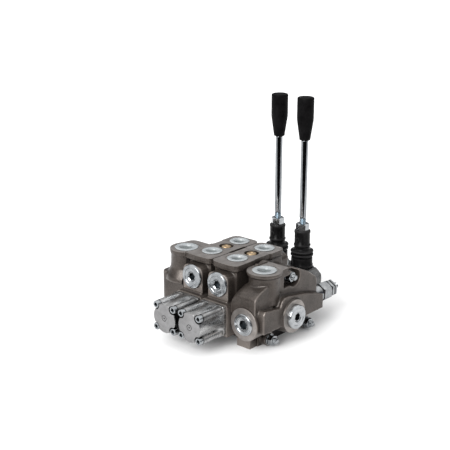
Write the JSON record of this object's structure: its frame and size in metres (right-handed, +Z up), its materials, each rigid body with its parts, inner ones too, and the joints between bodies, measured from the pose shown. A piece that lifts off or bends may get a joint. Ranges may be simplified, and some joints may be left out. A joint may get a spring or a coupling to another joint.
{
  "type": "hydraulic directional control valve",
  "caption": "Sectional hydraulic directional valve with hand levers, spring-centred spools, capped ports, side relief valve and tie rods.",
  "frame": {"origin": "middle of the bottom of the whole valve's box, on the surface it stands on", "axes": "+X along the stack from outlet to inlet section, +Y from the spring caps to the levers, +Z up"},
  "size_m": [0.1994, 0.261, 0.3106],
  "materials": {
    "cast_iron": "grey-brown oiled sand casting with machined faces",
    "die_cast": "die-cast, slightly mottled",
    "zinc_steel": "bright zinc plated, bluish",
    "chrome": "polished",
    "spring_steel": "oiled",
    "brass": "dull turned",
    "rubber": "matt black",
    "black_plastic": "fine-grained black",
    "clear_plastic": "milky translucent"
  },
  "bodies": {
    "valve_block": {"outlet_section": "cast_iron", "inlet_section": "cast_iron", "tie_rod_1": "zinc_steel", "tie_nut_inlet_1": "zinc_steel", "tie_nut_outlet_1": "zinc_steel", "tie_rod_2": "zinc_steel", "tie_nut_inlet_2": "zinc_steel", "tie_nut_outlet_2": "zinc_steel", "tie_rod_3": "zinc_steel", "tie_nut_inlet_3": "zinc_steel", "tie_nut_outlet_3": "zinc_steel", "inlet_front_plug": "zinc_steel", "inlet_side_plug": "zinc_steel", "port_plug_p": "clear_plastic", "port_plug_t": "clear_plastic", "relief_valve_body": "zinc_steel", "relief_lock_nut": "zinc_steel", "relief_adjuster": "zinc_steel", "working_section_1": "cast_iron", "spring_cap_1": "die_cast", "cap_screw_1_1": "zinc_steel", "cap_screw_1_2": "zinc_steel", "cap_screw_1_3": "zinc_steel", "cap_screw_1_4": "zinc_steel", "centring_spring_1": "spring_steel", "front_valve_plug_1": "zinc_steel", "rear_valve_plug_1": "zinc_steel", "port_plug_a1": "clear_plastic", "port_plug_b1": "clear_plastic", "check_plug_1": "brass", "lever_box_1": "die_cast", "pivot_pin_1": "spring_steel", "boot_1": "rubber", "working_section_2": "cast_iron", "spring_cap_2": "die_cast", "cap_screw_2_1": "zinc_steel", "cap_screw_2_2": "zinc_steel", "cap_screw_2_3": "zinc_steel", "cap_screw_2_4": "zinc_steel", "centring_spring_2": "spring_steel", "front_valve_plug_2": "zinc_steel", "rear_valve_plug_2": "zinc_steel", "port_plug_a2": "clear_plastic", "port_plug_b2": "clear_plastic", "check_plug_2": "brass", "lever_box_2": "die_cast", "pivot_pin_2": "spring_steel", "boot_2": "rubber"},
    "spool_1": {"spool_1": "chrome"},
    "check_poppet_1": {"check_poppet_1": "spring_steel"},
    "lever_1": {"lever_socket_1": "spring_steel", "lever_lock_nut_1": "zinc_steel", "lever_rod_1": "chrome", "lever_knob_1": "black_plastic"},
    "spool_2": {"spool_2": "chrome"},
    "check_poppet_2": {"check_poppet_2": "spring_steel"},
    "lever_2": {"lever_socket_2": "spring_steel", "lever_lock_nut_2": "zinc_steel", "lever_rod_2": "chrome", "lever_knob_2": "black_plastic"}
  },
  "joints": [
    {"name": "lever_1_tilt", "type": "hinge", "parent": "valve_block", "child": "lever_1", "pos_m": [-0.03165, 0.107, 0.06], "axis": [1, 0, 0], "range_deg": [-17, 17], "stiffness_Nm_per_rad": 3, "deforming": ["boot_1"]},
    {"name": "spool_1_slide", "type": "slide", "parent": "valve_block", "child": "spool_1", "axis": [0, 1, 0], "range_m": [-0.006, 0.006], "deforming": ["centring_spring_1"]},
    {"name": "check_1_lift", "type": "slide", "parent": "valve_block", "child": "check_poppet_1", "axis": [0, 0, 1], "range_m": [0, 0.004], "stiffness_N_per_m": 400, "springref_m": -0.005},
    {"name": "lever_2_tilt", "type": "hinge", "parent": "valve_block", "child": "lever_2", "pos_m": [0.01435, 0.107, 0.06], "axis": [1, 0, 0], "range_deg": [-17, 17], "stiffness_Nm_per_rad": 3, "deforming": ["boot_2"]},
    {"name": "spool_2_slide", "type": "slide", "parent": "valve_block", "child": "spool_2", "axis": [0, 1, 0], "range_m": [-0.006, 0.006], "deforming": ["centring_spring_2"]},
    {"name": "check_2_lift", "type": "slide", "parent": "valve_block", "child": "check_poppet_2", "axis": [0, 0, 1], "range_m": [0, 0.004], "stiffness_N_per_m": 400, "springref_m": -0.005}
  ],
  "couplings": [
    {"joint": "spool_1_slide", "follows": "lever_1_tilt", "m_per_rad": 0.02},
    {"joint": "spool_2_slide", "follows": "lever_2_tilt", "m_per_rad": 0.02}
  ]
}
